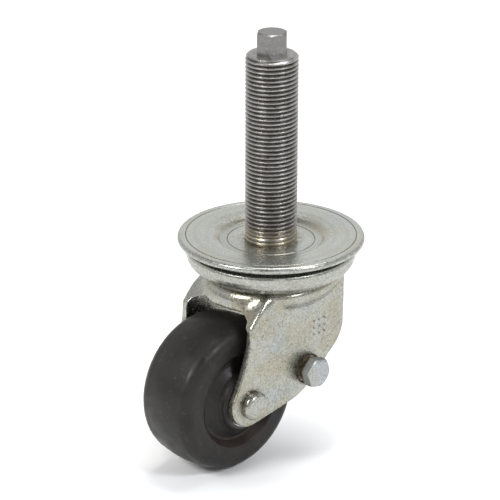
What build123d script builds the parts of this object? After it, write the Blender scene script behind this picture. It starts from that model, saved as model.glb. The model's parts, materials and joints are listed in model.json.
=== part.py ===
from build123d import *
import math
import os

# Swivelling wheel with a threaded stem, for the foot of a jack leg. Millimetres.
# Origin: on the swivel axis, level with the flange's seating face. +Z is up the stem.
# The wheel trails towards -X and its axle lies along Y. The near side is the -Y side.

# ---------------------------------------------------------------- driving dimensions
FIT = 0.05                    # radial gap of a pushed or turning fit
END_GAP = 0.02                # gap at the end of a part that is held between two others
TRACK_GAP = 0.2               # running gap between a ball and its track
BREAK = 0.5                   # small broken corner
REACH = 200.0                 # longer than the whole part, for cutting blocks

STEM_R = 12.0                 # M24 x 2 stem
PITCH = 2.0
THREAD_DEPTH = 1.2
THREAD_FLANK = 30.0           # degrees, half of the thread's 60
CREST_WIDTH = 0.5
FIRST_CREST_Z = -1.5
CREST_COUNT = 44
STEM_TOP_Z = 86.35
HEX_ACROSS_FLATS = 13.0
HEX_TOP_Z = 96.7
HEX_CHAMFER_R = 6.1
HEX_TURN = -17.8              # turn of the stem's hexagon about Z, degrees

FLANGE_R = 43.1
RIM_THICKNESS = 3.0
RIM_STEP_R = 39.3             # fine step line inside the rim
PLATEAU_R = 31.8
DISH_R = 23.8
DISH_SLOPE_Z = -0.85          # top of the dish's steep wall, where it eases to the plateau
DISC_LINE_R = 20.2            # fine turned line in the centre disc
DISC_Z = -2.6                 # sunk centre disc that the stem stands on
LINE_DEPTH = 0.25
LINE_HALF_WIDTH = 0.3
PLATE_UNDER_Z = -6.6
PLATE_BORE_R = 8.0            # kingpin shank

SHANK_R = 8.0
SHANK_END_Z = -29.2
KINGPIN_THREAD_R = 7.0
KINGPIN_END_Z = -37.7
SPACER_R = 11.5
NUT_ACROSS_FLATS = 21.0
NUT_HEIGHT = 5.8
NUT_CHAMFER_R = 10.0
NUT_WASHER_R = 13.0
NUT_WASHER_THICKNESS = 1.5

UPPER_BALL_R = 4.0
UPPER_TRACK_R = 29.5
UPPER_BALL_Z = -7.6
UPPER_BALL_COUNT = 22
LOWER_BALL_R = 3.175
LOWER_TRACK_R = 15.5
LOWER_BALL_Z = -24.5
LOWER_BALL_COUNT = 14
RACE_SPLIT = 0.35             # each lower race stops this far from the balls' middle
LOWER_RACE_R = 19.2
LOWER_CUP_R = 19.5

CUP_R = 39.3                  # rolled ring under the flange
CUP_TOP_Z = -6.2
CUP_BELLY = (38.0, -12.7)     # (radius, z) half way round its side
CUP_FOOT_R = 34.0
CUP_BORE_R = 24.0
SEAL_INNER_R = 34.6           # swivel seal, on the ring's lip
SEAL_OUTER_R = 36.6
SEAL_TOP_Z = -3.3
CROWN_Z = -16.1               # top of the fork's crown

SHEET = 3.5                   # fork sheet thickness
FORK_HALF_WIDTH = 23.6
LEG_INNER_Y = FORK_HALF_WIDTH - SHEET
CROWN_BORE_R = 13.0
SLOPE_TOP = (-21.9, CROWN_Z)  # sloping front face, in (x, z)
SLOPE_FOOT = (-34.6, -31.0)
FRONT_EDGE_TOP = (-34.6, -38.5)
FRONT_EDGE_MIDDLE = (-38.8, -51.4)
LEG_REAR_X = 24.9
LEG_REAR_CORNER_Z = -49.5
BACK_EDGE_FOOT = (-1.7, -73.1)
LEG_REAR_CORNER_R = 16.0
BACK_EDGE_R = 25.0
LOBE_CENTRE = (-34.3, -67.6)  # round foot of the leg, about the axle
LOBE_R = 11.3
NOSE_R = 32.9                 # round front of the crown, over the arch
NOSE_HALF_WIDTH = 22.0
NOSE_REAR_X = -10.0
NOSE_HEIGHT = 16.0
ARCH_TOP_Z = -26.9
ARCH_REAR_X = -20.0
ARCH_CORNER_R = 7.0
REAR_ARCH_TOP_Z = -24.0
REAR_ARCH_X = 20.0
# The crown's round skirt: (z, half length along X, half width along Y), from the top down.
SKIRT = ((CROWN_Z, 33.8, 33.8), (-20.5, 33.6, 32.2), (-24.5, 32.9, 28.6),
         (-27.5, 31.5, 25.6), (-29.8, 29.0, 22.8))

AXLE_X, AXLE_Z = -33.3, -68.4
AXLE_R = 5.0
AXLE_HEAD_R = 6.65
AXLE_HEAD_PROUD = 3.9
AXLE_WASHER_R = 10.0
AXLE_WASHER_THICKNESS = 2.0
AXLE_RIVET_HEIGHT = 3.2

WHEEL_R = 36.0
WHEEL_HALF_WIDTH = 16.0
TREAD_CROWN = 0.9             # drop of the tread from its middle to its shoulders
SHOULDER_R = 6.0
RECESS_R = 23.3               # mouth of the round recess in the wheel's side
RECESS_LEDGE = (20.6, 12.6)   # (radius, y) of the ledge inside it
RECESS_FLOOR = (19.8, 12.4)
HUB_FOOT_Y = 15.2
HUB_HALF_WIDTH = 18.8
HUB_R = 13.4
SEAL_R = 12.8
HUB_SEAL_THICKNESS = 0.5
SLEEVE_R = 7.0
THRUST_WASHER_R = 11.5
THRUST_GAP = 0.75             # hub face to thrust washer
ROLLER_R = 1.5
ROLLER_LENGTH = 26.0
ROLLER_COUNT = 12
ROLLER_GAP = 0.1
CAGE_END = 2.0                # the cage's length past the rollers, at each end
CAGE_GAP = 0.7
SHELL_THICKNESS = 1.0
SHELL_INNER_R = SLEEVE_R + 2 * ROLLER_R + 2 * ROLLER_GAP
SHELL_OUTER_R = SHELL_INNER_R + SHELL_THICKNESS

BRAKE_X, BRAKE_Z = 1.85, -61.3
BRAKE_R = 6.5
BRAKE_HOLE_R = 6.8
BRAKE_FLAT = 3.0              # distance of the flat from the shaft's own axis
BRAKE_FLAT_HALF = 17.2        # half of the flat's length
BRAKE_NECK_R = 5.0            # neck between the shaft and its hexagon
BRAKE_NECK_PROUD = 2.9
BRAKE_SHOULDER_DEPTH = 0.8    # the shaft's shoulder lies this far inside the leg's face
BRAKE_FAR_PROUD = 3.4
BRAKE_HEX_HEIGHT = 4.7
BRAKE_HEX_CHAMFER_R = 5.9
BRAKE_HEX_TURN = 48.0
BRAKE_TIP_Y = -FORK_HALF_WIDTH - BRAKE_NECK_PROUD
CLIP_THICKNESS = 1.1
CLIP_GROOVE = 0.5
CLIP_WIDTH = 2.2
CLIP_MOUTH = 4.0
CLIP_STARTS = (-LEG_INNER_Y + 0.1, FORK_HALF_WIDTH + 0.1)

AXLE_SPOT = Pos(AXLE_X, 0, AXLE_Z)
BRAKE_SPOT = Pos(BRAKE_X, 0, BRAKE_Z)


# ---------------------------------------------------------------- helpers
def turned_z(*outline):
    """Solid of revolution about Z from (radius, z) corners."""
    face = make_face(Polyline(*outline, close=True))
    return revolve(Plane.XZ * face, Axis.Z)


def turned_y(*outline):
    """Solid of revolution about Y from (radius, y) corners."""
    face = make_face(Polyline(*outline, close=True))
    return revolve(face, Axis.Y)


def tube_z(inner, outer, low, high):
    return turned_z((inner, low), (outer, low), (outer, high), (inner, high))


def tube_y(inner, outer, low, high):
    return turned_y((inner, low), (outer, low), (outer, high), (inner, high))


def rod_y(radius, low, high):
    return turned_y((0, low), (radius, low), (radius, high), (0, high))


def hexagon(across_flats, height, chamfer_r):
    """Hexagon prism from z = 0 to height, its top corners turned down to a cone."""
    corner_r = across_flats / math.sqrt(3)
    prism = extrude(RegularPolygon(corner_r, 6), height)
    cone_r = corner_r + BREAK
    drop = (cone_r - chamfer_r) * math.tan(math.radians(30))
    cone = turned_z((0, 0), (cone_r, 0), (cone_r, height - drop), (chamfer_r, height), (0, height))
    return prism & cone


def ring_of(shape, count):
    """Copies of a shape spaced evenly round Z, as separate solids."""
    return Compound(children=[Rot(0, 0, 360 * i / count) * shape for i in range(count)])


def fine_line(radius, z):
    """Corners of a fine turned line in a level face."""
    return [(radius - LINE_HALF_WIDTH, z), (radius, z - LINE_DEPTH), (radius + LINE_HALF_WIDTH, z)]


def upper_track():
    return Pos(0, 0, UPPER_BALL_Z) * Torus(UPPER_TRACK_R, UPPER_BALL_R + TRACK_GAP)


def lower_track():
    return Pos(0, 0, LOWER_BALL_Z) * Torus(LOWER_TRACK_R, LOWER_BALL_R + TRACK_GAP)


# ---------------------------------------------------------------- fixed head
def threaded_stem():
    """Stem, kingpin shank and kingpin thread in one turned piece; the thread is ring grooves."""
    root_r = STEM_R - THREAD_DEPTH
    half_root = (PITCH - CREST_WIDTH) / 2 - THREAD_DEPTH * math.tan(math.radians(THREAD_FLANK))
    tip_r = KINGPIN_THREAD_R - 1
    outline = [(0, KINGPIN_END_Z), (tip_r, KINGPIN_END_Z), (KINGPIN_THREAD_R, KINGPIN_END_Z + 1),
               (KINGPIN_THREAD_R, SHANK_END_Z), (SHANK_R, SHANK_END_Z), (SHANK_R, DISC_Z),
               (root_r, DISC_Z)]
    for i in range(CREST_COUNT):
        middle = FIRST_CREST_Z + PITCH * i
        outline += [(root_r, middle - PITCH / 2 + half_root), (STEM_R, middle - CREST_WIDTH / 2),
                    (STEM_R, middle + CREST_WIDTH / 2), (root_r, middle + PITCH / 2 - half_root)]
    outline += [(root_r, STEM_TOP_Z), (0, STEM_TOP_Z)]
    key = Rot(0, 0, HEX_TURN) * hexagon(HEX_ACROSS_FLATS, HEX_TOP_Z - STEM_TOP_Z, HEX_CHAMFER_R)
    return turned_z(*outline) + Pos(0, 0, STEM_TOP_Z) * key


def top_plate():
    """Dished flange with the upper half of the large ball track under it."""
    dish_wall = [(DISH_R - 0.4, DISC_Z), (DISH_R + 0.5, DISC_Z + 0.5), (DISH_R + 1.2, DISC_Z + 1.1),
                 (DISH_R + 3.0, DISH_SLOPE_Z), (PLATEAU_R - 1.5, DISH_SLOPE_Z + 0.6)]
    rim = [(FLANGE_R - BREAK, 0), (FLANGE_R, -BREAK), (FLANGE_R, BREAK - RIM_THICKNESS),
           (FLANGE_R - BREAK, -RIM_THICKNESS)]
    underside = [(UPPER_TRACK_R + 4.6, -RIM_THICKNESS), (UPPER_TRACK_R + 3.0, PLATE_UNDER_Z + 2.0),
                 (UPPER_TRACK_R - 3.0, PLATE_UNDER_Z), (PLATE_BORE_R, PLATE_UNDER_Z)]
    plate = turned_z((PLATE_BORE_R, DISC_Z), *fine_line(DISC_LINE_R, DISC_Z), *dish_wall,
                     (PLATEAU_R + 1.0, 0), *fine_line(RIM_STEP_R, 0), *rim, *underside)
    return plate - upper_track()


def kingpin_spacer():
    return tube_z(SHANK_R + FIT, SPACER_R, LOWER_BALL_Z - RACE_SPLIT, PLATE_UNDER_Z)


def lower_race():
    top = LOWER_BALL_Z - RACE_SPLIT
    edge = 1.2
    race = turned_z((SHANK_R + FIT, SHANK_END_Z), (LOWER_RACE_R - edge, SHANK_END_Z),
                    (LOWER_RACE_R, SHANK_END_Z + edge), (LOWER_RACE_R, top), (SHANK_R + FIT, top))
    return race - lower_track()


def kingpin_washer():
    return tube_z(KINGPIN_THREAD_R + FIT, NUT_WASHER_R, SHANK_END_Z - NUT_WASHER_THICKNESS, SHANK_END_Z)


def kingpin_nut():
    top = SHANK_END_Z - NUT_WASHER_THICKNESS
    nut = Pos(0, 0, top) * Rot(180, 0, 0) * hexagon(NUT_ACROSS_FLATS, NUT_HEIGHT, NUT_CHAMFER_R)
    return nut - Cylinder(KINGPIN_THREAD_R + FIT, REACH)


# ---------------------------------------------------------------- ball rows
def upper_balls():
    return ring_of(Pos(UPPER_TRACK_R, 0, UPPER_BALL_Z) * Sphere(UPPER_BALL_R), UPPER_BALL_COUNT)


def lower_balls():
    return ring_of(Pos(LOWER_TRACK_R, 0, LOWER_BALL_Z) * Sphere(LOWER_BALL_R), LOWER_BALL_COUNT)


# ---------------------------------------------------------------- swivelling head
def race_cup():
    """Rolled ring on the crown with the lower half of the large ball track in it."""
    track_edge = UPPER_TRACK_R + UPPER_BALL_R + TRACK_GAP
    side_top = (CUP_R, CUP_TOP_Z - 2.0)
    side = ThreePointArc(side_top, CUP_BELLY, (CUP_FOOT_R, CROWN_Z))
    rest = Polyline((CUP_FOOT_R, CROWN_Z), (CUP_BORE_R, CROWN_Z), (CUP_BORE_R, UPPER_BALL_Z),
                    (track_edge, UPPER_BALL_Z), (track_edge, CUP_TOP_Z), (CUP_R - 0.8, CUP_TOP_Z),
                    (CUP_R - 0.2, CUP_TOP_Z - BREAK), side_top)
    return revolve(Plane.XZ * make_face(side + rest), Axis.Z) - upper_track()


def swivel_seal():
    return tube_z(SEAL_INNER_R, SEAL_OUTER_R, CUP_TOP_Z, SEAL_TOP_Z)


def lower_cup():
    top = CROWN_Z - SHEET
    cup = tube_z(CROWN_BORE_R, LOWER_CUP_R, LOWER_BALL_Z + RACE_SPLIT, top)
    return cup - lower_track()


def skirt(inset):
    """Round skirt of the crown: level ovals that narrow downwards, faster at the sides."""
    slices = []
    for z, along, across in SKIRT:
        slices.append(Pos(0, 0, z) * Ellipse(along - inset, across - inset))
    return loft(slices)


def nose(inset):
    """Upright round front of the crown, between the legs."""
    front = Pos(0, 0, CROWN_Z - NOSE_HEIGHT / 2) * Cylinder(NOSE_R - inset, NOSE_HEIGHT)
    return front & Pos(NOSE_REAR_X - REACH / 2, 0, 0) * Box(REACH, 2 * NOSE_HALF_WIDTH, REACH)


def leg_outline():
    """Side view of the fork in (x, z)."""
    def on_lobe(angle):
        turn = math.radians(angle)
        return (LOBE_CENTRE[0] + LOBE_R * math.cos(turn), LOBE_CENTRE[1] + LOBE_R * math.sin(turn))

    low, foremost, high = on_lobe(285), on_lobe(215), on_lobe(162)
    back = FilletPolyline(FRONT_EDGE_TOP, SLOPE_FOOT, SLOPE_TOP, (LEG_REAR_X, CROWN_Z),
                          (LEG_REAR_X, LEG_REAR_CORNER_Z), BACK_EDGE_FOOT, low,
                          radius=[1.0, 0.5, 0.5, LEG_REAR_CORNER_R, BACK_EDGE_R])
    lobe = ThreePointArc(low, foremost, high)
    front = ThreePointArc(high, FRONT_EDGE_MIDDLE, FRONT_EDGE_TOP)
    return make_face(back + lobe + front)


def arch_cutter():
    """Opening in the front of the fork that the wheel passes through."""
    height = 60.0
    opening = RectangleRounded(2 * LEG_INNER_Y, height, ARCH_CORNER_R)
    middle = (ARCH_REAR_X, 0, ARCH_TOP_Z - height / 2)
    return extrude(Plane(origin=middle, x_dir=(0, 1, 0), z_dir=(-1, 0, 0)) * opening, height)


def space_between_legs():
    """What is open under the crown and behind the sloping front, drawn as a side view in (x, z)."""
    slope = math.atan2(SLOPE_TOP[1] - SLOPE_FOOT[1], SLOPE_TOP[0] - SLOPE_FOOT[0])
    behind_slope = SLOPE_TOP[0] + SHEET / math.sin(slope)
    under = CROWN_Z - SHEET
    foot_z = SLOPE_FOOT[1] - 3.0

    def on_back_of_slope(z):
        return (behind_slope + (z - CROWN_Z) / math.tan(slope), z)

    outline = Polyline(on_back_of_slope(under), (REAR_ARCH_X, under), (REAR_ARCH_X, REAR_ARCH_TOP_Z),
                       (REACH, REAR_ARCH_TOP_Z), (REACH, -REACH), (-REACH, -REACH), (-REACH, foot_z),
                       on_back_of_slope(foot_z), close=True)
    return extrude(Plane.XZ * make_face(outline), LEG_INNER_Y, both=True)


def fork():
    """Crown, sloping front and two legs, pressed from one sheet."""
    body = extrude(Plane.XZ * leg_outline(), FORK_HALF_WIDTH, both=True)
    body += skirt(0) + nose(0)
    below_crown = Pos(0, 0, CROWN_Z - SHEET - REACH / 2) * Box(REACH, REACH, REACH)
    body -= space_between_legs()
    body -= skirt(SHEET) & below_crown
    body -= nose(SHEET) & below_crown
    body -= arch_cutter()
    body -= Cylinder(CROWN_BORE_R, REACH)
    body -= AXLE_SPOT * rod_y(AXLE_R + FIT, -REACH, REACH)
    body -= BRAKE_SPOT * rod_y(BRAKE_HOLE_R, -REACH, REACH)
    return body


def axle():
    """Axle pin: domed head on the near side, riveted over its washer on the far side."""
    head_y = -FORK_HALF_WIDTH - AXLE_HEAD_PROUD
    far_y = FORK_HALF_WIDTH + AXLE_WASHER_THICKNESS
    head = [(0, head_y), (AXLE_HEAD_R - 2.2, head_y), (AXLE_HEAD_R - 0.9, head_y + 0.4),
            (AXLE_HEAD_R, head_y + 1.4), (AXLE_HEAD_R, -FORK_HALF_WIDTH)]
    rivet = [(AXLE_HEAD_R, far_y), (AXLE_HEAD_R - 0.5, far_y + AXLE_RIVET_HEIGHT / 2),
             (AXLE_HEAD_R - 2.5, far_y + AXLE_RIVET_HEIGHT - 0.4), (0, far_y + AXLE_RIVET_HEIGHT)]
    return AXLE_SPOT * turned_y(*head, (AXLE_R, -FORK_HALF_WIDTH), (AXLE_R, far_y), *rivet)


def axle_washer():
    far_y = FORK_HALF_WIDTH + AXLE_WASHER_THICKNESS
    return AXLE_SPOT * tube_y(AXLE_R + FIT, AXLE_WASHER_R, FORK_HALF_WIDTH, far_y)


def axle_sleeve():
    end_y = LEG_INNER_Y - END_GAP
    return AXLE_SPOT * tube_y(AXLE_R + FIT, SLEEVE_R, -end_y, end_y)


def thrust_washer(side):
    low, high = sorted((side * (HUB_HALF_WIDTH + THRUST_GAP), side * (LEG_INNER_Y - END_GAP)))
    return AXLE_SPOT * tube_y(SLEEVE_R + FIT, THRUST_WASHER_R, low, high)


# ---------------------------------------------------------------- wheel and its bearing
def wheel():
    """Tread, shoulders, side recesses and hub, turned about the axle."""
    shoulder_y = WHEEL_HALF_WIDTH - SHOULDER_R
    edge_r = WHEEL_R - TREAD_CROWN
    shoulder_r = edge_r - SHOULDER_R
    middle_r = shoulder_r + SHOULDER_R * math.cos(math.pi / 4)
    middle_y = shoulder_y + SHOULDER_R * math.sin(math.pi / 4)
    side = [(HUB_R, HUB_HALF_WIDTH - BREAK), (HUB_R + BREAK, HUB_FOOT_Y), RECESS_FLOOR, RECESS_LEDGE,
            (RECESS_R, WHEEL_HALF_WIDTH - 0.4), (shoulder_r, WHEEL_HALF_WIDTH)]
    near_side = [(radius, -y) for radius, y in side]
    outline = ThreePointArc((shoulder_r, WHEEL_HALF_WIDTH), (middle_r, middle_y), (edge_r, shoulder_y))
    outline += ThreePointArc((edge_r, shoulder_y), (WHEEL_R, 0), (edge_r, -shoulder_y))
    outline += ThreePointArc((edge_r, -shoulder_y), (middle_r, -middle_y), (shoulder_r, -WHEEL_HALF_WIDTH))
    outline += Polyline(*reversed(near_side), (HUB_R - BREAK, -HUB_HALF_WIDTH),
                        (SHELL_OUTER_R, -HUB_HALF_WIDTH), (SHELL_OUTER_R, HUB_HALF_WIDTH),
                        (HUB_R - BREAK, HUB_HALF_WIDTH), *side)
    return AXLE_SPOT * revolve(make_face(outline), Axis.Y)


def bearing_shell():
    end_y = HUB_HALF_WIDTH - 1
    return AXLE_SPOT * tube_y(SHELL_INNER_R, SHELL_OUTER_R, -end_y, end_y)


def hub_seal(side):
    low, high = sorted((side * HUB_HALF_WIDTH, side * (HUB_HALF_WIDTH + HUB_SEAL_THICKNESS)))
    return AXLE_SPOT * tube_y(SLEEVE_R + 0.4, SEAL_R, low, high)


def roller_spots():
    pitch_r = SLEEVE_R + ROLLER_R + ROLLER_GAP
    return [Rot(0, 360 * i / ROLLER_COUNT, 0) * Pos(pitch_r, 0, 0) for i in range(ROLLER_COUNT)]


def bearing_rollers():
    half = ROLLER_LENGTH / 2
    roller = rod_y(ROLLER_R, -half, half)
    return Compound(children=[AXLE_SPOT * spot * roller for spot in roller_spots()])


def roller_cage():
    half = ROLLER_LENGTH / 2
    cage = tube_y(SLEEVE_R + CAGE_GAP, SHELL_INNER_R - CAGE_GAP, -half - CAGE_END, half + CAGE_END)
    for spot in roller_spots():
        cage -= spot * rod_y(ROLLER_R + 0.08, -half - 0.1, half + 0.1)
    return AXLE_SPOT * cage


# ---------------------------------------------------------------- wheel lock
def brake_shaft():
    """Cam shaft through both legs: a flat faces the wheel, and a hexagon turns it."""
    shoulder_y = -FORK_HALF_WIDTH + BRAKE_SHOULDER_DEPTH
    shaft = rod_y(BRAKE_R, shoulder_y, FORK_HALF_WIDTH + BRAKE_FAR_PROUD)
    shaft += rod_y(BRAKE_NECK_R, BRAKE_TIP_Y, shoulder_y)
    for start in CLIP_STARTS:
        shaft -= tube_y(BRAKE_R - CLIP_GROOVE, BRAKE_R + 1, start - FIT, start + CLIP_THICKNESS + FIT)
    to_wheel = math.degrees(math.atan2(BRAKE_Z - AXLE_Z, BRAKE_X - AXLE_X))
    flat = Pos(BRAKE_FLAT - REACH / 2, 0, 0) * Box(REACH, 2 * BRAKE_FLAT_HALF, 4 * BRAKE_R)
    shaft -= Rot(0, -to_wheel, 0) * flat
    key = hexagon(HEX_ACROSS_FLATS, BRAKE_HEX_HEIGHT, BRAKE_HEX_CHAMFER_R)
    return BRAKE_SPOT * (shaft + Pos(0, BRAKE_TIP_Y, 0) * Rot(90, 0, 0) * Rot(0, 0, BRAKE_HEX_TURN) * key)


def brake_clips():
    """Open snap rings that hold the cam shaft endways."""
    rings = []
    for start in CLIP_STARTS:
        end = start + CLIP_THICKNESS
        ring = tube_y(BRAKE_R - CLIP_GROOVE, BRAKE_R + CLIP_WIDTH, start, end)
        ring -= Pos(BRAKE_R + 1, (start + end) / 2, 0) * Box(CLIP_MOUTH, 3 * CLIP_THICKNESS, CLIP_MOUTH)
        rings.append(BRAKE_SPOT * ring)
    return Compound(children=rings)


# ---------------------------------------------------------------- write the nodes
NODES = {
    "threaded_stem": threaded_stem(),
    "top_plate": top_plate(),
    "kingpin_spacer": kingpin_spacer(),
    "lower_race": lower_race(),
    "kingpin_washer": kingpin_washer(),
    "kingpin_nut": kingpin_nut(),
    "upper_balls": upper_balls(),
    "lower_balls": lower_balls(),
    "fork": fork(),
    "race_cup": race_cup(),
    "swivel_seal": swivel_seal(),
    "lower_cup": lower_cup(),
    "axle": axle(),
    "axle_washer": axle_washer(),
    "axle_sleeve": axle_sleeve(),
    "thrust_washer_near": thrust_washer(-1),
    "thrust_washer_far": thrust_washer(1),
    "wheel": wheel(),
    "bearing_shell": bearing_shell(),
    "hub_seal_near": hub_seal(-1),
    "hub_seal_far": hub_seal(1),
    "bearing_rollers": bearing_rollers(),
    "roller_cage": roller_cage(),
    "brake_shaft": brake_shaft(),
    "brake_clips": brake_clips(),
}

os.makedirs("parts", exist_ok=True)
for name, shape in NODES.items():
    export_step(shape, f"parts/{name}.step")
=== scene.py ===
import json
import math

import bmesh
import bpy
import numpy as np
from mathutils import Matrix, Vector


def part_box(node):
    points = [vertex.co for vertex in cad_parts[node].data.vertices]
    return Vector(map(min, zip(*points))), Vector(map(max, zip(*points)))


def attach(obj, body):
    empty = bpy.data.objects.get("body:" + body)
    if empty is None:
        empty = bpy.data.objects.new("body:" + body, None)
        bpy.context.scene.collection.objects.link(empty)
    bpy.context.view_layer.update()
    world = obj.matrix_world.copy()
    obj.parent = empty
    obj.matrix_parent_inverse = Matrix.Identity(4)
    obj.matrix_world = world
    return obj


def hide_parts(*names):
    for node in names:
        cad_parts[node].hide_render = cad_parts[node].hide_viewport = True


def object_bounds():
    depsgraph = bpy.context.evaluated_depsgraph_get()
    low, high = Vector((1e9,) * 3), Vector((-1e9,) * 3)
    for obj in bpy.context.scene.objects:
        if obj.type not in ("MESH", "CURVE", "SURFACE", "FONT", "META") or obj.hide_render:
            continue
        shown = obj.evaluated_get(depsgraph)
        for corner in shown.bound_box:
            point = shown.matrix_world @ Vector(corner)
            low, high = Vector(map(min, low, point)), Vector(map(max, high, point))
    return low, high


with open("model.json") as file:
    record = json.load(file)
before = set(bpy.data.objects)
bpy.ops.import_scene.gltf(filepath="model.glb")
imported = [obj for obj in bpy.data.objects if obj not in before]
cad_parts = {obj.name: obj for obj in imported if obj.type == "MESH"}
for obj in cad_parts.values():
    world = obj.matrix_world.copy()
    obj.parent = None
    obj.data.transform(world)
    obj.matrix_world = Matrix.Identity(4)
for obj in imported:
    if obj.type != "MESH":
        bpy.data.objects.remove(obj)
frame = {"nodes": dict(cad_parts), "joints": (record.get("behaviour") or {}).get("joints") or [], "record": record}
cad_low, cad_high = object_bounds()
nodes = frame["nodes"]

MM = 0.001

# ---------------------------------------------------------------- places read from the frame
# The frame's origin is on the swivel axis, level with the flange's seating face. +Z runs up the
# stem, the wheel trails towards -X and the near leg faces -Y.
joints = {joint["name"]: joint for joint in frame["joints"]}
AXLE = Vector(joints["wheel_spin"]["pos_m"])
LOCK = Vector(joints["lock_turn"]["pos_m"])
cup_low, cup_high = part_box("race_cup")
plate_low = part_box("top_plate")[0]
stem_low, stem_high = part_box("threaded_stem")
axle_low, axle_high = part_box("axle")
lock_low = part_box("brake_shaft")[0]
washer_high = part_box("axle_washer")[1]

# ---------------------------------------------------------------- sizes shared by shapes and looks
LEG_FACE_Y = -23.6 * MM       # outer face of the near leg; the far leg mirrors it
SPANNER = 13 * MM             # across the flats of both hexagons
LOCK_HEX_HEIGHT = 4.7 * MM
LOCK_HEX_TURN = 48.0          # degrees, as are all the turns named here
STEM_HEX_TURN = -17.8
STEM_TOP = 86.35 * MM         # where the thread ends and the stem's hexagon starts
FLANGE_GROOVES = (20.2 * MM, 39.3 * MM)
ARCH_LIP = Vector((-28 * MM, -8 * MM, -27.5 * MM))     # edge of the fork over the wheel

# ---------------------------------------------------------------- camera
VIEW_AZIMUTH = math.radians(-43.3)
VIEW_ELEVATION = math.radians(22.35)
VIEW_ROLL = math.radians(0.12)
VIEW_DEPTH = 1.0882           # from the camera to the origin, along the line of sight
ORIGIN_RIGHT = 0.00966        # how far the origin stands right of and above the middle of the view
ORIGIN_UP = 0.00784
LENS_MM = 170.3
SENSOR_MM = 36.0


def direction(azimuth, elevation):
    """Unit vector from the origin; azimuth is counted from -Y towards +X."""
    flat = math.cos(elevation)
    return Vector((math.sin(azimuth) * flat, -math.cos(azimuth) * flat, math.sin(elevation)))


def make_camera():
    """Camera at the photograph's angle; returns the direction from the object back to it."""
    data = bpy.data.cameras.new("camera")
    data.lens = LENS_MM
    data.sensor_width = SENSOR_MM
    data.clip_start = 0.05
    data.clip_end = 50.0
    camera = bpy.data.objects.new("camera", data)
    bpy.context.scene.collection.objects.link(camera)
    back = direction(VIEW_AZIMUTH, VIEW_ELEVATION)
    level = Vector((math.cos(VIEW_AZIMUTH), math.sin(VIEW_AZIMUTH), 0))
    upright = back.cross(level)
    right = level * math.cos(VIEW_ROLL) + upright * math.sin(VIEW_ROLL)
    up = back.cross(right)
    eye = back * VIEW_DEPTH - right * ORIGIN_RIGHT - up * ORIGIN_UP
    turn = Matrix((right, up, back)).transposed()
    camera.matrix_world = Matrix.Translation(eye) @ turn.to_4x4()
    bpy.context.scene.camera = camera
    return back


view_back = make_camera()


# ---------------------------------------------------------------- studio
FLOOR_HALF = 4.0


def softbox(name, azimuth, elevation, distance, width, height, watts, colour=(1, 1, 1)):
    """Area light aimed at the object; azimuth is counted from the camera's side, left negative."""
    data = bpy.data.lights.new(name, "AREA")
    data.shape = "RECTANGLE"
    data.size = width
    data.size_y = height
    data.energy = watts
    data.color = colour
    lamp = bpy.data.objects.new(name, data)
    bpy.context.scene.collection.objects.link(lamp)
    away = direction(VIEW_AZIMUTH + math.radians(azimuth), math.radians(elevation))
    lamp.location = away * distance
    lamp.rotation_mode = "QUATERNION"
    lamp.rotation_quaternion = away.to_track_quat("Z", "Y")


def make_studio():
    """Softboxes that show as highlights, a bright sweep behind and a darker room in front."""
    # azimuth and elevation in degrees, distance and sides in metres, watts, colour
    softbox("key_left", -52, 37, 1.5, 0.34, 0.42, 14.0)
    softbox("key_right", 50, 36, 1.6, 0.30, 0.40, 13.0, (0.93, 0.96, 1.0))
    softbox("overhead", 150, 76, 1.8, 0.9, 0.9, 24.0)
    softbox("front_low", 12, 16, 1.8, 0.22, 0.9, 1.7, (0.90, 0.94, 1.0))
    world = bpy.data.worlds.new("studio")
    world.use_nodes = True
    tree = world.node_tree
    sky = tree.nodes["Background"]
    place = tree.nodes.new("ShaderNodeTexCoord").outputs["Generated"]
    split = tree.nodes.new("ShaderNodeSeparateXYZ")
    ramp = tree.nodes.new("ShaderNodeValToRGB")
    tree.links.new(place, split.inputs[0])
    tree.links.new(split.outputs["Z"], ramp.inputs[0])
    sweep, ceiling = ramp.color_ramp.elements
    sweep.position = 0.42
    sweep.color = (1, 1, 1, 1)
    ceiling.position = 0.88
    ceiling.color = (0.30, 0.30, 0.31, 1)
    tree.links.new(ramp.outputs[0], sky.inputs["Color"])
    behind = tree.nodes.new("ShaderNodeVectorMath")
    behind.operation = "DOT_PRODUCT"
    tree.links.new(place, behind.inputs[0])
    behind.inputs[1].default_value = (-view_back.x, -view_back.y, 0)
    level = tree.nodes.new("ShaderNodeMapRange")
    level.interpolation_type = "SMOOTHSTEP"
    tree.links.new(behind.outputs["Value"], level.inputs["Value"])
    level.inputs["From Min"].default_value = -0.45
    level.inputs["From Max"].default_value = 0.35
    level.inputs["To Min"].default_value = 0.30     # in front of the object
    level.inputs["To Max"].default_value = 0.98     # behind it
    tree.links.new(level.outputs[0], sky.inputs["Strength"])
    bpy.context.scene.world = world
    bpy.context.scene.view_settings.view_transform = "Standard"


def make_floor():
    """Plain square floor that the wheel stands on."""
    mesh = bpy.data.meshes.new("floor")
    half, z = FLOOR_HALF, cad_low.z
    corners = [(-half, -half, z), (half, -half, z), (half, half, z), (-half, half, z)]
    mesh.from_pydata(corners, [], [(0, 1, 2, 3)])
    floor = bpy.data.objects.new("floor", mesh)
    bpy.context.scene.collection.objects.link(floor)
    return floor


make_studio()
floor = make_floor()


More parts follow.
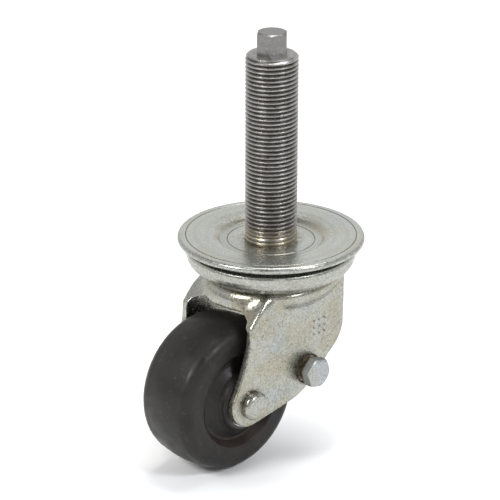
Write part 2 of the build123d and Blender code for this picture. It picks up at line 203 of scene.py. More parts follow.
# ---------------------------------------------------------------- materials
class Look:
    """A material being made; its methods add nodes and return the socket with the result."""

    def __init__(self, name, metallic, roughness, ior=1.5):
        self.material = bpy.data.materials.new(name)
        self.material.use_nodes = True
        self.tree = self.material.node_tree
        self.shader = self.tree.nodes["Principled BSDF"]
        self.shader.inputs["Metallic"].default_value = metallic
        self.shader.inputs["Roughness"].default_value = roughness
        self.shader.inputs["IOR"].default_value = ior
        self.place = self.add("ShaderNodeTexCoord").outputs["Object"]

    def add(self, kind, **settings):
        """New node with those settings; this one returns the node itself."""
        node = self.tree.nodes.new(kind)
        for key, value in settings.items():
            setattr(node, key, value)
        return node

    def feed(self, socket, value):
        """Links a socket, or sets a plain number."""
        if isinstance(value, bpy.types.NodeSocket):
            self.tree.links.new(value, socket)
        else:
            socket.default_value = value

    def math(self, operation, a, b=0.0):
        node = self.add("ShaderNodeMath", operation=operation)
        for socket, value in zip(node.inputs, (a, b)):
            self.feed(socket, value)
        return node.outputs[0]

    def times(self, first, *others):
        """Product of two or more values."""
        for value in others:
            first = self.math("MULTIPLY", first, value)
        return first

    def length(self, a, b):
        """Length of the hypotenuse over two sides."""
        return self.math("SQRT", self.math("ADD", self.times(a, a), self.times(b, b)))

    def span(self, value, low, high, to_low=0.0, to_high=1.0):
        """Value eased from low..high to to_low..to_high."""
        node = self.add("ShaderNodeMapRange", interpolation_type="SMOOTHSTEP")
        for socket, number in zip(node.inputs, (value, low, high, to_low, to_high)):
            self.feed(socket, number)
        return node.outputs[0]

    def mix(self, share, a, b):
        """Colour a with that share of colour b over it."""
        node = self.add("ShaderNodeMix", data_type="RGBA")
        self.feed(node.inputs[0], share)
        for socket, colour in ((node.inputs[6], a), (node.inputs[7], b)):
            plain = not isinstance(colour, bpy.types.NodeSocket)
            self.feed(socket, (*colour, 1) if plain else colour)
        return node.outputs[2]

    def vector(self, x, y, z):
        node = self.add("ShaderNodeCombineXYZ")
        for socket, value in zip(node.inputs, (x, y, z)):
            self.feed(socket, value)
        return node.outputs[0]

    def axes(self, vector=None):
        """X, y and z of a vector, or of the place on the object."""
        node = self.add("ShaderNodeSeparateXYZ")
        self.feed(node.inputs[0], vector or self.place)
        return node.outputs

    def noise(self, size, detail, vector=None, roughness=0.5):
        """Noise from 0 to 1 whose lumps are about size metres across."""
        node = self.add("ShaderNodeTexNoise")
        self.feed(node.inputs["Vector"], vector or self.place)
        node.inputs["Scale"].default_value = 1.0 / size
        node.inputs["Detail"].default_value = detail
        node.inputs["Roughness"].default_value = roughness
        return node.outputs[0]

    def pits(self, spacing, radius, share):
        """1 in round pits of about that radius, in a share of the cells of that size."""
        node = self.add("ShaderNodeTexVoronoi")
        self.feed(node.inputs["Vector"], self.place)
        node.inputs["Scale"].default_value = 1.0 / spacing
        chosen = self.math("LESS_THAN", self.axes(node.outputs["Color"])[0], share)
        reach = radius / spacing
        dot = self.span(node.outputs["Distance"], 0.6 * reach, reach, 1.0, 0.0)
        return self.times(chosen, dot)

    def near(self, point, inner, outer):
        """1 within inner metres of a point, 0 past outer."""
        node = self.add("ShaderNodeVectorMath", operation="DISTANCE")
        self.feed(node.inputs[0], self.place)
        node.inputs[1].default_value = point
        return self.span(node.outputs["Value"], inner, outer, 1.0, 0.0)

    def radius_z(self):
        """Distance from the swivel axis."""
        x, y, _ = self.axes()
        return self.length(x, y)

    def radius_y(self, centre):
        """Distance from a line along Y through the centre."""
        x, _, z = self.axes()
        return self.length(self.math("SUBTRACT", x, centre.x), self.math("SUBTRACT", z, centre.z))

    def bump(self, height, depth):
        """Normal of a surface that rises depth metres where the height is 1."""
        node = self.add("ShaderNodeBump")
        node.inputs["Distance"].default_value = depth
        self.feed(node.inputs["Height"], height)
        return node.outputs[0]

    def finish(self, colour, roughness=None, normal=None):
        """Links the results to the shader and returns the material."""
        self.tree.links.new(colour, self.shader.inputs["Base Color"])
        if roughness is not None:
            self.tree.links.new(roughness, self.shader.inputs["Roughness"])
        if normal is not None:
            self.tree.links.new(normal, self.shader.inputs["Normal"])
        return self.material


def tinted_zinc(look, pale, yellow, blue, blotch):
    """Zinc colour that drifts between three tints in blotches, with a fine grain."""
    colour = look.mix(look.span(look.noise(blotch, 3), 0.40, 0.62), pale, yellow)
    drift = look.span(look.noise(1.7 * blotch, 2), 0.52, 0.66, 0.0, 0.6)
    colour = look.mix(drift, colour, blue)
    grain = look.span(look.noise(0.75 * MM, 3, roughness=0.75), 0.34, 0.56, 0.55, 0.0)
    return look.mix(grain, colour, tuple(0.40 * c for c in yellow))


def zinc_plate_look():
    """Flange and ring: turning marks, a worn dish, thin grooves with painted shade, dents, a mottled side darkened
    with painted shade, and painted shade on the ring that is heavier towards its foot.
    """
    look = Look("zinc_plate", 0.93, 0.36)
    pale, yellow, blue = (0.52, 0.535, 0.495), (0.49, 0.49, 0.43), (0.48, 0.515, 0.53)
    colour = tinted_zinc(look, pale, yellow, blue, 16 * MM)
    radius = look.radius_z()
    rings = look.noise(0.45 * MM, 3, look.vector(radius, 0.0, 0.0), 0.6)
    colour = look.mix(look.span(rings, 0.45, 0.75, 0.0, 0.22), colour, (0.40, 0.39, 0.35))
    tones = look.noise(2.6 * MM, 1, look.vector(radius, 0.0, 0.0))
    colour = look.mix(look.span(tones, 0.44, 0.60, 0.0, 0.50), colour, (0.37, 0.385, 0.355))
    height = look.axes()[2]
    above = look.span(height, plate_low.z, plate_low.z + 2 * MM)
    dish_start = look.span(radius, 22.4 * MM, 24 * MM)
    dish_end = look.span(radius, 25 * MM, 28.5 * MM, 1, 0)
    worn = look.span(look.noise(9 * MM, 2), 0.42, 0.62, 0.15, 0.55)
    worn = look.times(dish_start, dish_end, worn, above)
    colour = look.mix(worn, colour, (0.32, 0.28, 0.21))
    # Painted shade: a near-black line along each of the two thin grooves.
    for groove in FLANGE_GROOVES:
        off_groove = look.math("ABSOLUTE", look.math("SUBTRACT", radius, groove))
        line = look.times(look.span(off_groove, 0.10 * MM, 0.45 * MM, 0.75, 0.0), above)
        colour = look.mix(line, colour, (0.10, 0.09, 0.075))
    foot = look.span(radius, 12.2 * MM, 15.5 * MM, 0.75, 0.0)
    foot = look.times(foot, look.span(look.noise(3 * MM, 3), 0.35, 0.6), above)
    colour = look.mix(foot, colour, (0.20, 0.15, 0.10))
    # Painted shade on the flange's outer side, laid in mottled patches.
    side = look.span(radius, 41.6 * MM, 42.6 * MM)
    mottled_painted_shade = look.span(look.noise(1.5 * MM, 4, roughness=0.7), 0.36, 0.60, 0.75, 0.30)
    colour = look.mix(look.times(side, mottled_painted_shade), colour, (0.20, 0.20, 0.195))
    # Painted shade on the ring under the flange, in patches, heavier towards the ring's foot.
    below = look.span(height, plate_low.z + 0.2 * MM, plate_low.z + 0.5 * MM, 1.0, 0.0)
    ring_top = cup_low.z + 0.9 * (cup_high.z - cup_low.z)
    ring_painted_shade = look.span(height, cup_low.z, ring_top, 0.85, 0.60)
    patchy = look.span(look.noise(1.3 * MM, 4, roughness=0.7), 0.36, 0.62, 1.0, 0.35)
    colour = look.mix(look.times(below, ring_painted_shade, patchy), colour, (0.20, 0.195, 0.17))
    dents = look.pits(4.5 * MM, 0.60 * MM, 0.16)
    dents = look.times(look.span(radius, 40.5 * MM, 42 * MM), dents)
    specks = look.times(look.pits(2.6 * MM, 0.24 * MM, 0.26), 0.8)
    marks = look.math("MAXIMUM", dents, specks)
    colour = look.mix(marks, colour, (0.05, 0.04, 0.035))
    rough = look.span(look.noise(1.2 * MM, 3), 0.3, 0.7, 0.24, 0.40)
    relief = look.math("SUBTRACT", look.times(rings, 0.25), marks)
    return look.finish(colour, rough, look.bump(relief, 0.12 * MM))


def zinc_fork_look():
    """Fork and axle: yellowish mottle, stains round the axle and the lock's hole, small pits."""
    look = Look("zinc_fork", 0.92, 0.38)
    pale, yellow, blue = (0.375, 0.38, 0.345), (0.35, 0.335, 0.27), (0.335, 0.37, 0.375)
    colour = tinted_zinc(look, pale, yellow, blue, 12 * MM)
    x, y, z = look.axes()
    mottle = look.span(look.noise(1.6 * MM, 4, roughness=0.70), 0.36, 0.50, 0.65, 0.0)
    patch = look.span(look.noise(14 * MM, 2), 0.38, 0.62, 0.25, 1.0)
    colour = look.mix(look.times(mottle, patch), colour, (0.19, 0.175, 0.135))
    on_leg = look.span(y, LEG_FACE_Y - 0.5 * MM, LEG_FACE_Y - 0.2 * MM)
    stains = ((AXLE, 6.4 * MM, 10.0 * MM, 0.75), (LOCK, 7.2 * MM, 11.0 * MM, 0.20))
    for centre, inner, outer, share in stains:
        ring = look.span(look.radius_y(centre), inner, outer, 1.0, 0.0)
        upper_left = look.math("SUBTRACT", look.math("SUBTRACT", z, x), centre.z - centre.x)
        upper_left = look.span(upper_left, -6 * MM, 8 * MM)
        patchy = look.span(look.noise(2.0 * MM, 3), 0.34, 0.60, 0.25, 1.0)
        stain = look.times(ring, upper_left, patchy, on_leg, share)
        colour = look.mix(stain, colour, (0.15, 0.105, 0.06))
    sunk = look.span(look.radius_y(LOCK), 7.1 * MM, 7.5 * MM, 1.0, 0.0)
    patchy = look.span(look.noise(1.4 * MM, 3), 0.30, 0.60, 0.55, 0.95)
    colour = look.mix(look.times(sunk, on_leg, patchy), colour, (0.17, 0.12, 0.065))
    lip = look.near(ARCH_LIP, 6 * MM, 14 * MM)
    lip = look.times(lip, look.span(z, -29.5 * MM, -24.5 * MM, 0.8, 0.0))
    colour = look.mix(lip, colour, (0.36, 0.28, 0.17))
    small, large = look.pits(2.7 * MM, 0.30 * MM, 0.45), look.pits(7 * MM, 0.55 * MM, 0.16)
    pits = look.math("MAXIMUM", small, large)
    colour = look.mix(pits, colour, (0.035, 0.028, 0.02))
    rough = look.span(look.noise(1.1 * MM, 4), 0.3, 0.7, 0.22, 0.38)
    relief = look.math("SUBTRACT", look.times(look.noise(1.3 * MM, 3), 0.5), pits)
    return look.finish(colour, rough, look.bump(relief, 0.16 * MM))


def zinc_bright_look():
    """Bright plating of the lock shaft and the kingpin's nut; the shaft's neck is rust brown mixed with painted
    shade.
    """
    look = Look("zinc_bright", 0.80, 0.42)
    pale, yellow, blue = (0.40, 0.41, 0.41), (0.38, 0.38, 0.355), (0.36, 0.39, 0.43)
    colour = tinted_zinc(look, pale, yellow, blue, 5 * MM)
    y = look.axes()[1]
    neck_y = lock_low.y + LOCK_HEX_HEIGHT
    neck = look.span(y, neck_y - 0.1 * MM, neck_y + 0.4 * MM)
    outside = look.span(y, LEG_FACE_Y + 1.6 * MM, LEG_FACE_Y + 2.0 * MM, 1.0, 0.0)
    on_shaft = look.span(look.radius_y(LOCK), 8 * MM, 9 * MM, 0.95, 0.0)
    # The shaft's neck between the hexagon and the leg: brown rust mixed with near-black painted shade.
    rust_and_shade_mottle = look.span(look.noise(1.3 * MM, 3), 0.35, 0.6)
    rust_and_painted_shade = look.mix(rust_and_shade_mottle, (0.075, 0.06, 0.04), (0.24, 0.20, 0.14))
    colour = look.mix(look.times(neck, outside, on_shaft), colour, rust_and_painted_shade)
    specks = look.pits(1.7 * MM, 0.20 * MM, 0.30)
    colour = look.mix(specks, colour, (0.05, 0.05, 0.05))
    rough = look.span(look.noise(0.8 * MM, 3), 0.3, 0.7, 0.36, 0.50)
    return look.finish(colour, rough, look.bump(look.noise(0.9 * MM, 3), 0.05 * MM))


def stem_steel_look():
    """Stem: streaked steel, painted shade in the thread roots, brown grime towards the flange."""
    look = Look("stem_steel", 0.95, 0.33)
    z = look.axes()[2]
    radius = look.radius_z()
    streak = look.noise(3 * MM, 3, roughness=0.6)
    colour = look.mix(look.span(streak, 0.35, 0.65), (0.35, 0.342, 0.34), (0.25, 0.24, 0.225))
    colour = look.mix(look.span(z, 86.2 * MM, 86.6 * MM, 0.0, 0.75), colour, (0.17, 0.165, 0.16))
    # Painted shade in the thread's roots, up to the hexagon.
    groove = look.span(radius, 10.9 * MM, 11.8 * MM, 0.85, 0.0)
    root_painted_shade = look.times(groove, look.span(z, 85 * MM, 85.6 * MM, 1.0, 0.0))
    colour = look.mix(root_painted_shade, colour, (0.060, 0.046, 0.036))
    grime = look.span(z, 1 * MM, 9 * MM, 0.85, 0.0)
    grime = look.times(grime, look.span(look.noise(2.2 * MM, 3), 0.3, 0.6))
    colour = look.mix(grime, colour, (0.27, 0.225, 0.15))
    specks = look.times(look.pits(2.2 * MM, 0.22 * MM, 0.25), 0.8)
    colour = look.mix(specks, colour, (0.10, 0.07, 0.05))
    rough = look.span(look.noise(0.9 * MM, 3), 0.3, 0.7, 0.26, 0.44)
    return look.finish(colour, rough, look.bump(look.noise(0.5 * MM, 3), 0.05 * MM))


def bearing_steel_look():
    """Polished steel with a film of grease in patches."""
    look = Look("bearing_steel", 1.0, 0.18)
    colour = look.mix(look.noise(4 * MM, 2), (0.56, 0.56, 0.55), (0.66, 0.66, 0.66))
    grease = look.span(look.noise(6 * MM, 3), 0.48, 0.66, 0.0, 0.5)
    colour = look.mix(grease, colour, (0.24, 0.19, 0.11))
    rough = look.span(look.noise(2 * MM, 2), 0.3, 0.7, 0.10, 0.26)
    return look.finish(colour, rough)


def wheel_look():
    """Charcoal polymer with scuffs that run round the wheel, dust and a reddish ledge."""
    look = Look("wheel_polymer", 0.0, 0.42, 1.30)
    radius = look.radius_y(AXLE)
    x, y, z = look.axes()
    dx = look.math("DIVIDE", look.math("SUBTRACT", x, AXLE.x), radius)
    dz = look.math("DIVIDE", look.math("SUBTRACT", z, AXLE.z), radius)
    # Noise over this place hardly changes on the way round, so its lumps draw out to arcs.
    outwards = look.math("ADD", look.times(dz, 3 * MM), radius)
    scuffs = look.noise(0.7 * MM, 4, look.vector(look.times(dx, 3 * MM), y, outwards), 0.65)
    cloud = look.span(look.noise(18 * MM, 3), 0.35, 0.65)
    colour = look.mix(cloud, (0.0135, 0.0122, 0.0118), (0.0195, 0.0178, 0.0160))
    colour = look.mix(look.span(scuffs, 0.55, 0.75, 0.0, 0.35), colour, (0.050, 0.046, 0.042))
    dust = look.times(look.span(look.noise(3 * MM, 4, roughness=0.7), 0.56, 0.70), 0.30)
    colour = look.mix(dust, colour, (0.070, 0.058, 0.043))
    ledge_start = look.span(radius, 19.0 * MM, 20.2 * MM)
    ledge_end = look.span(radius, 23.1 * MM, 24.0 * MM, 1, 0)
    ledge = look.times(ledge_start, ledge_end, 0.6)
    colour = look.mix(ledge, colour, (0.020, 0.010, 0.007))
    rough = look.span(look.noise(5 * MM, 3), 0.3, 0.7, 0.34, 0.48)
    relief = look.math("ADD", look.times(scuffs, 0.6), look.noise(0.8 * MM, 3))
    return look.finish(colour, rough, look.bump(relief, 0.06 * MM))


def seal_look():
    """Black moulded polymer of the seals and the roller cage."""
    look = Look("seal_polymer", 0.0, 0.55)
    colour = look.mix(look.noise(2 * MM, 3), (0.018, 0.017, 0.016), (0.032, 0.030, 0.027))
    rough = look.span(look.noise(1 * MM, 3), 0.3, 0.7, 0.45, 0.65)
    return look.finish(colour, rough, look.bump(look.noise(0.7 * MM, 3), 0.05 * MM))


def floor_look():
    """Plain pale floor."""
    look = Look("floor", 0.0, 0.7)
    colour = look.mix(look.noise(0.4, 2), (0.90, 0.90, 0.895), (0.93, 0.93, 0.925))
    return look.finish(colour)


LOOKS = {
    "stem_steel": stem_steel_look(),
    "zinc_plate": zinc_plate_look(),
    "zinc_fork": zinc_fork_look(),
    "zinc_bright": zinc_bright_look(),
    "bearing_steel": bearing_steel_look(),
    "wheel_polymer": wheel_look(),
    "seal_polymer": seal_look(),
}
floor.data.materials.append(floor_look())


def paint(piece, slot):
    """Gives a piece the one material of that slot."""
    piece.data.materials.clear()
    piece.data.materials.append(LOOKS[slot])


# ---------------------------------------------------------------- mesh helpers
def new_piece(name, mesh, slot, body, stands_for=()):
    """Visual piece that rides on a body and may take the place of CAD nodes."""
    piece = bpy.data.objects.new(name, mesh)
    bpy.context.scene.collection.objects.link(piece)
    for face in mesh.polygons:
        face.use_smooth = True
    paint(piece, slot)
    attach(piece, body)
    if stands_for:
        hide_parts(*stands_for)
    return piece


def weigh_normals(piece):
    """Flat faces keep their own normals beside rounded edges."""
    modifier = piece.modifiers.new("weighted_normals", "WEIGHTED_NORMAL")
    modifier.weight = 80
    modifier.keep_sharp = True


def mesh_from(bm, name):
    """Mesh with its faces turned outwards; frees the bmesh."""
    bmesh.ops.recalc_face_normals(bm, faces=bm.faces)
    mesh = bpy.data.meshes.new(name)
    bm.to_mesh(mesh)
    bm.free()
    return mesh


def eased(points, closed, steps=6):
    """Outline of (a, b, corner radius) points with its corners rounded by arcs."""
    out = []
    count = len(points)
    for i, (a, b, radius) in enumerate(points):
        here = Vector((a, b))
        if radius <= 0 or (not closed and i in (0, count - 1)):
            out.append(here)
            continue
        before = Vector(points[i - 1][:2]) - here
        after = Vector(points[(i + 1) % count][:2]) - here
        half_angle = before.angle(after) / 2
        reach = min(radius / math.tan(half_angle), 0.48 * before.length, 0.48 * after.length)
        radius = reach * math.tan(half_angle)
        inwards = (before.normalized() + after.normalized()).normalized()
        middle = here + inwards * (radius / math.sin(half_angle))
        start = here + before.normalized() * reach - middle
        end = here + after.normalized() * reach - middle
        sweep = start.angle_signed(end)
        for k in range(steps + 1):
            turn = Matrix.Rotation(-sweep * k / steps, 2)
            out.append(middle + turn @ start)
    return out


def turned(outline, axis, centre, segments=192, closed=True):
    """Lathe: outline points are (radius, place along the axis) in metres."""
    bm = bmesh.new()
    rings = []
    for radius, along in outline:
        ring = []
        for k in range(1 if radius < 1e-7 else segments):
            turn = math.tau * k / segments
            a, b = radius * math.cos(turn), radius * math.sin(turn)
            spot = Vector((a, b, along)) if axis == "Z" else Vector((a, along, b))
            ring.append(bm.verts.new(spot + centre))
        rings.append(ring)
    pairs = list(zip(rings, rings[1:]))
    if closed:
        pairs.append((rings[-1], rings[0]))
    for low, high in pairs:
        for k in range(segments):
            n = (k + 1) % segments
            corners = (low[k % len(low)], low[n % len(low)],
                       high[n % len(high)], high[k % len(high)])
            unique = list(dict.fromkeys(corners))       # a ring on the axis is a single point
            if len(unique) > 2:
                bm.faces.new(unique)
    return bm


def in_mm(*points):
    """Points given in millimetres, in metres."""
    return [tuple(value * MM for value in point) for point in points]


ON_AXIS = Vector((0, 0, 0))


# ---------------------------------------------------------------- stem
STEM_R = stem_high.x
PITCH = 2 * MM
THREAD_DEPTH = 1.15 * MM
SHALLOWEST = 0.30             # share of the thread's depth at its foot, where it runs out
RUN_OUT = 4.5 * MM
DISC_Z = -2.6 * MM            # the flange's middle, which the stem stands on
SHANK_R = 8.0 * MM            # kingpin below the flange
SHANK_FOOT = -29.1 * MM
KINGPIN_PITCH = 1.5 * MM
KINGPIN_R = 6.95 * MM
KINGPIN_ROOT_R = 6.0 * MM
# One turn of the thread: (share of the pitch, share of the depth).
THREAD_FORM = ((0.00, 0.00), (0.09, 0.00), (0.15, 0.06), (0.22, 0.24), (0.40, 0.88),
               (0.46, 0.99), (0.54, 0.99), (0.60, 0.88), (0.78, 0.24), (0.85, 0.06), (0.91, 0.00))


def helical_rod(radius, depth, low, high, chamfer, fade, segments=144):
    """Right-hand thread on a rod; fade(z) is the share of the depth that is cut at a height."""
    bm = bmesh.new()
    turns = math.ceil((high - low) / PITCH) + 3
    rows = []
    for turn in range(turns):
        for share, cut in THREAD_FORM:
            row = []
            for k in range(segments):
                angle = math.tau * k / segments
                z = low - 2 * PITCH + PITCH * (turn + share + k / segments)
                r = radius - depth * cut * fade(z)
                r = min(r, radius - chamfer + max(high - z, 0.0))
                row.append(bm.verts.new((r * math.cos(angle), r * math.sin(angle), z)))
            rows.append(row)
    per_turn = len(THREAD_FORM)
    for i in range(len(rows) - 1 - per_turn):
        for k in range(segments):
            if k < segments - 1:
                corners = (rows[i][k], rows[i][k + 1], rows[i + 1][k + 1], rows[i + 1][k])
            else:
                corners = (rows[i][k], rows[i + per_turn][0],
                           rows[i + per_turn + 1][0], rows[i + 1][k])
            bm.faces.new(corners)
    for z, side in ((low, -1), (high, 1)):
        geometry = bm.verts[:] + bm.edges[:] + bm.faces[:]
        bmesh.ops.bisect_plane(bm, geom=geometry, plane_co=(0, 0, z), plane_no=(0, 0, side),
                               clear_outer=True)
    bmesh.ops.delete(bm, geom=[v for v in bm.verts if not v.link_faces], context="VERTS")
    rims = [e for e in bm.edges if e.is_boundary]
    bmesh.ops.holes_fill(bm, edges=rims, sides=0)
    return bm


def hexagon_mesh(across_flats, height, chamfer_r, name):
    """Hexagon along +Z from 0, with its top corners turned to a cone and its edges softened."""
    corner_r = across_flats / math.sqrt(3)
    spare = 1.0 * MM
    depth = height + spare
    prism = bpy.data.objects.new("prism", bpy.data.meshes.new("prism"))
    bm = bmesh.new()
    bmesh.ops.create_cone(bm, cap_ends=True, segments=6, radius1=corner_r, radius2=corner_r,
                          depth=depth)
    corner_to_x = Matrix.Rotation(math.radians(90), 4, "Z")
    foot_to_0 = Matrix.Translation((0, 0, depth / 2))
    bmesh.ops.transform(bm, verts=bm.verts, matrix=foot_to_0 @ corner_to_x)
    bm.to_mesh(prism.data)
    bm.free()
    cone_r = corner_r * 1.08
    shoulder = height - (cone_r - chamfer_r) * math.tan(math.radians(30))
    outline = [(0, -spare), (cone_r, -spare), (cone_r, shoulder), (chamfer_r, height), (0, height)]
    mesh = mesh_from(turned(outline, "Z", ON_AXIS, 128, False), "cone")
    cone = bpy.data.objects.new("cone", mesh)
    for helper in (prism, cone):
        bpy.context.scene.collection.objects.link(helper)
    cut = prism.modifiers.new("turned_corners", "BOOLEAN")
    cut.operation = "INTERSECT"
    cut.solver = "EXACT"
    cut.object = cone
    soft = prism.modifiers.new("soft_edges", "BEVEL")
    soft.width = 0.22 * MM
    soft.segments = 3
    soft.limit_method = "ANGLE"
    soft.angle_limit = math.radians(25)
    bpy.context.view_layer.update()
    graph = bpy.context.evaluated_depsgraph_get()
    mesh = bpy.data.meshes.new_from_object(prism.evaluated_get(graph))
    mesh.name = name
    for helper in (prism, cone):
        bpy.data.objects.remove(helper)
    return mesh


def make_stem():
    """Threaded stem, its hexagon and the plain shank under the flange."""
    def fade(z):
        share = SHALLOWEST + (1 - SHALLOWEST) * (z - 0.5 * MM) / RUN_OUT
        return min(1.0, max(SHALLOWEST, share))

    foot = DISC_Z - 0.1 * MM
    bm = helical_rod(STEM_R - 0.02 * MM, THREAD_DEPTH, foot, STEM_TOP, 1.1 * MM, fade)
    mesh = mesh_from(bm, "stem")
    stem = new_piece("stem_with_thread", mesh, "stem_steel", "stem_head", ["threaded_stem"])
    weigh_normals(stem)
    sunk = STEM_TOP - 0.5 * MM
    mesh = hexagon_mesh(SPANNER, stem_high.z - sunk, 6.1 * MM, "stem_hexagon")
    turn = Matrix.Rotation(math.radians(STEM_HEX_TURN), 4, "Z")
    mesh.transform(Matrix.Translation((0, 0, sunk)) @ turn)
    weigh_normals(new_piece("stem_hexagon", mesh, "stem_steel", "stem_head"))
    shank = eased([(0, SHANK_FOOT, 0), (SHANK_R, SHANK_FOOT, 0.3 * MM), (SHANK_R, DISC_Z, 0),
                   (0, DISC_Z, 0)], False)
    mesh = mesh_from(turned(shank, "Z", ON_AXIS, 96, False), "shank")
    weigh_normals(new_piece("kingpin_shank", mesh, "stem_steel", "stem_head"))


def make_kingpin_thread():
    """Thread below the shank, as ring grooves; the kingpin's nut sits on it."""
    soft = 0.1 * MM
    outline = [(0, stem_low.z, 0), (5.6 * MM, stem_low.z, 0.3 * MM)]
    z = stem_low.z + 1.0 * MM
    while z < SHANK_FOOT - 0.9 * MM:
        outline += [(KINGPIN_R, z, soft), (KINGPIN_R, z + 0.25 * MM, soft),
                    (KINGPIN_ROOT_R, z + 0.95 * MM, soft)]
        z += KINGPIN_PITCH
    outline += [(6.9 * MM, SHANK_FOOT, 0), (0, SHANK_FOOT, 0)]
    mesh = mesh_from(turned(eased(outline, False, 3), "Z", ON_AXIS, 96, False), "kingpin_thread")
    new_piece("kingpin_thread", mesh, "stem_steel", "stem_head")


# ---------------------------------------------------------------- flange and ring
# Outlines in mm: (radius, height, corner radius).
FLANGE_OUTLINE = (
    (8, -2.6, 0), (19.85, -2.6, 0.1), (20.2, -2.86, 0.1), (20.55, -2.6, 0.1), (23.4, -2.6, 0.6),
    (24.9, -1.15, 0.8), (27.6, -0.55, 2.5), (31.0, -0.12, 3.5), (33.5, 0, 4.0), (38.95, 0, 0.1),
    (39.3, -0.28, 0.1), (39.65, 0, 0.1), (43.1, 0, 1.5), (43.1, -3.0, 1.1), (34.1, -3.0, 1.2),
    (32.5, -4.6, 0.3), (31.8, -4.3, 0.6), (29.5, -3.5, 2.0), (27.2, -4.3, 0.6), (26.5, -6.6, 0.5),
    (8, -6.6, 0))
RING_OUTLINE = (
    (34.0, -16.05, 0.4), (24.0, -16.05, 0), (24.0, -7.6, 0), (26.5, -9.9, 0.5), (28.0, -11.4, 1.0),
    (31.0, -11.4, 1.0), (33.2, -9.5, 0.8), (33.75, -7.6, 0.4), (33.75, -6.2, 0.3),
    (38.9, -6.2, 0.7), (39.3, -7.4, 1.2), (39.15, -10.0, 4.0), (37.9, -13.0, 4.0))


def make_flange():
    """Dished flange with two thin grooves, and the upper ball track under it."""
    mesh = mesh_from(turned(eased(in_mm(*FLANGE_OUTLINE), True), "Z", ON_AXIS, 256), "flange")
    weigh_normals(new_piece("flange_plate", mesh, "zinc_plate", "stem_head", ["top_plate"]))


def make_ring():
    """Rolled ring on the fork with the lower half of the ball track."""
    mesh = mesh_from(turned(eased(in_mm(*RING_OUTLINE), True), "Z", ON_AXIS, 256), "ring")
    weigh_normals(new_piece("rolled_ring", mesh, "zinc_plate", "fork_head", ["race_cup"]))


# ---------------------------------------------------------------- fork
VOXEL = 0.50 * MM
SHOULDER_DROP = 10.0 * MM     # the crown's round shoulder: its height and its reach inwards
SHOULDER_REACH = 10.0 * MM
LOCK_RIM_R = 7.6 * MM         # sunk rim round the wheel lock's hole
LOCK_HOLE_R = 6.8 * MM
LOCK_RIM_DEPTH = 0.3 * MM
DOT_R = 1.05 * MM             # plain punched dots in a grid on the near leg
DOT_DEPTH = 0.60 * MM
DOT_PITCH = 3.4 * MM
DOT_MIDDLE = (8.6 * MM, -41.2 * MM)     # x and z
EASING_ROUNDS = 3             # smoothing rounds over the whole fork, before and after the fillets
FILLET_ROUNDS = 58            # rounds that fill the crown's inside corners
BEND_ROUNDS = 23              # rounds on the bends between the slope and the legs
RIM_ROUNDS = 10               # rounds on the legs' outer edges


def neighbour_mean(points, edges, degree):
    """Mean of each point's neighbours."""
    total = np.zeros_like(points)
    for axis in range(3):
        total[:, axis] = np.bincount(edges[:, 0], points[edges[:, 1], axis], len(points))
        total[:, axis] += np.bincount(edges[:, 1], points[edges[:, 0], axis], len(points))
    return total / degree[:, None]


def vertex_normals(points, faces):
    """Unit normals of the points of a mesh of quads."""
    corners = points[faces]
    diagonal = np.cross(corners[:, 2] - corners[:, 0], corners[:, 3] - corners[:, 1])
    normals = np.zeros_like(points)
    for corner in range(4):
        for axis in range(3):
            normals[:, axis] += np.bincount(faces[:, corner], diagonal[:, axis], len(points))
    return normals / np.maximum(np.linalg.norm(normals, axis=1), 1e-12)[:, None]


def ramp(value, low, high):
    """0 up to low, 1 from high, eased between them."""
    share = np.clip((value - low) / (high - low), 0, 1)
    return share * share * (3 - 2 * share)


def relax(points, edges, degree, strength, rounds):
    """Moves points towards their neighbours' mean, by that strength in each round."""
    for _ in range(rounds):
        points += strength * (neighbour_mean(points, edges, degree) - points)


def round_shoulder(points):
    """Draws the crown's upper edge in to a round shoulder, which fades out towards +X."""
    top = points[:, 2].max()
    rise = np.clip((points[:, 2] - (top - SHOULDER_DROP)) / SHOULDER_DROP, 0, 1)
    reach = np.hypot(points[:, 0], points[:, 1])
    fade = ramp(-points[:, 0], -20 * MM, -6 * MM)
    arc = SHOULDER_REACH * (1 - np.sqrt(1 - rise ** 2))
    inset = arc * ramp(reach, 12 * MM, 32 * MM) * fade
    points[:, :2] *= (1 - inset / np.maximum(reach, MM))[:, None]


def punch_leg(points):
    """Sinks the rim round the wheel lock's hole and a grid of dots into the near leg's face."""
    on_face = ramp(-points[:, 1], -LEG_FACE_Y - 1.4 * MM, -LEG_FACE_Y - 0.2 * MM)
    on_face *= points[:, 1] > LEG_FACE_Y - 0.3 * MM
    lock_r = np.hypot(points[:, 0] - LOCK.x, points[:, 2] - LOCK.z)
    sink = LOCK_RIM_DEPTH * (1 - ramp(lock_r, LOCK_HOLE_R - 0.3 * MM, LOCK_RIM_R))
    for column in (-1, 0, 1):
        for row in (-1, 0, 1):
            across = points[:, 0] - DOT_MIDDLE[0] - column * DOT_PITCH
            up = points[:, 2] - DOT_MIDDLE[1] - row * DOT_PITCH
            sink += DOT_DEPTH * (1 - ramp(np.hypot(across, up), 0.3 * DOT_R, DOT_R))
    points[:, 1] += on_face * sink


